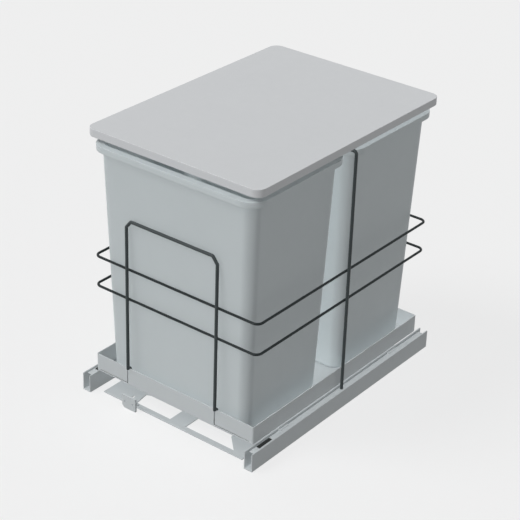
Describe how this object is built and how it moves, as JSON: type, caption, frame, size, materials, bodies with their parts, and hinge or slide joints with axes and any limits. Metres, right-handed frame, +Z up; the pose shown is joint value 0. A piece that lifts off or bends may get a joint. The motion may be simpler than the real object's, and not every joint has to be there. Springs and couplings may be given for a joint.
{
  "type": "pull-out waste cabinet fitting",
  "caption": "Pull-out waste bin fitting: lidded bins in a wire-caged steel tray that rides forward on telescopic ball slides set in floor channels.",
  "frame": {"origin": "on the floor, under the middle of the floor channels", "axes": "+Z up, -Y towards the front, where the tray pulls out, +X to the right seen from the front"},
  "size_m": [0.402, 0.55, 0.5337],
  "materials": {
    "painted_steel": "smooth satin grey powder coat",
    "zinc_steel": "rolled zinc-plated strip",
    "bright_steel": "plain bright steel",
    "dark_wire": "dark grey coated wire",
    "bin_plastic": "moulded grey plastic, fine matt",
    "lid_plastic": "moulded pale grey plastic",
    "black_plastic": "moulded black plastic",
    "black_rubber": "moulded black rubber"
  },
  "bodies": {
    "base": {"base_plate": "painted_steel", "channel_left": "painted_steel", "channel_right": "painted_steel", "front_lug": "painted_steel", "lug_rivet_left": "bright_steel", "lug_rivet_right": "bright_steel", "rear_bumper_left": "black_rubber", "rear_bumper_right": "black_rubber", "slide_outer_left": "zinc_steel", "slide_outer_right": "zinc_steel", "wing_rivet_front_left": "bright_steel", "wing_rivet_front_right": "bright_steel", "wing_rivet_rear_left": "bright_steel", "wing_rivet_rear_right": "bright_steel"},
    "carriage": {"centre_hoop": "dark_wire", "front_hoop": "dark_wire", "ring_lower": "dark_wire", "ring_upper": "dark_wire", "runner_buffer_left": "black_rubber", "runner_buffer_right": "black_rubber", "runner_left": "painted_steel", "runner_right": "painted_steel", "runner_rivet_front_left": "bright_steel", "runner_rivet_front_right": "bright_steel", "runner_rivet_rear_left": "bright_steel", "runner_rivet_rear_right": "bright_steel", "slide_inner_left": "zinc_steel", "slide_inner_right": "zinc_steel", "tray": "painted_steel", "tray_bracket_front_left": "painted_steel", "tray_bracket_front_right": "painted_steel", "tray_bracket_rear_left": "painted_steel", "tray_bracket_rear_right": "painted_steel", "tray_rivet_a_front_left": "bright_steel", "tray_rivet_a_front_right": "bright_steel", "tray_rivet_a_rear_left": "bright_steel", "tray_rivet_a_rear_right": "bright_steel", "tray_rivet_b_front_left": "bright_steel", "tray_rivet_b_front_right": "bright_steel", "tray_rivet_b_rear_left": "bright_steel", "tray_rivet_b_rear_right": "bright_steel"},
    "middle_rails": {"slide_middle_left": "zinc_steel", "slide_middle_right": "zinc_steel"},
    "outer_cages": {"ball_cage_outer_left": "bright_steel", "ball_cage_outer_right": "bright_steel"},
    "inner_cages": {"ball_cage_inner_left": "bright_steel", "ball_cage_inner_right": "bright_steel"},
    "front_bin": {"front_bin": "bin_plastic"},
    "rear_bin": {"rear_bin": "bin_plastic"},
    "lid": {"lid": "lid_plastic", "lid_saddle_left": "black_plastic", "lid_saddle_right": "black_plastic", "saddle_screw_front_left": "bright_steel", "saddle_screw_front_right": "bright_steel", "saddle_screw_rear_left": "bright_steel", "saddle_screw_rear_right": "bright_steel"}
  },
  "joints": [
    {"name": "carriage_slide", "type": "slide", "parent": "base", "child": "carriage", "axis": [0, -1, 0], "range_m": [0, 0.5]},
    {"name": "middle_rail_slide", "type": "slide", "parent": "base", "child": "middle_rails", "axis": [0, -1, 0], "range_m": [0, 0.25]},
    {"name": "outer_cage_slide", "type": "slide", "parent": "base", "child": "outer_cages", "axis": [0, -1, 0], "range_m": [0, 0.125]},
    {"name": "inner_cage_slide", "type": "slide", "parent": "base", "child": "inner_cages", "axis": [0, -1, 0], "range_m": [0, 0.375]},
    {"name": "front_bin_lift", "type": "slide", "parent": "carriage", "child": "front_bin", "axis": [0, 0, 1], "range_m": [0, 0.49]},
    {"name": "rear_bin_lift", "type": "slide", "parent": "carriage", "child": "rear_bin", "axis": [0, 0, 1], "range_m": [0, 0.49]},
    {"name": "lid_lift", "type": "slide", "parent": "front_bin", "child": "lid", "axis": [0, 0, 1], "range_m": [0, 0.3]}
  ],
  "couplings": [
    {"joint": "middle_rail_slide", "follows": "carriage_slide", "ratio": 0.5},
    {"joint": "outer_cage_slide", "follows": "carriage_slide", "ratio": 0.25},
    {"joint": "inner_cage_slide", "follows": "carriage_slide", "ratio": 0.75},
    {"joint": "rear_bin_lift", "follows": "front_bin_lift", "ratio": 1}
  ]
}
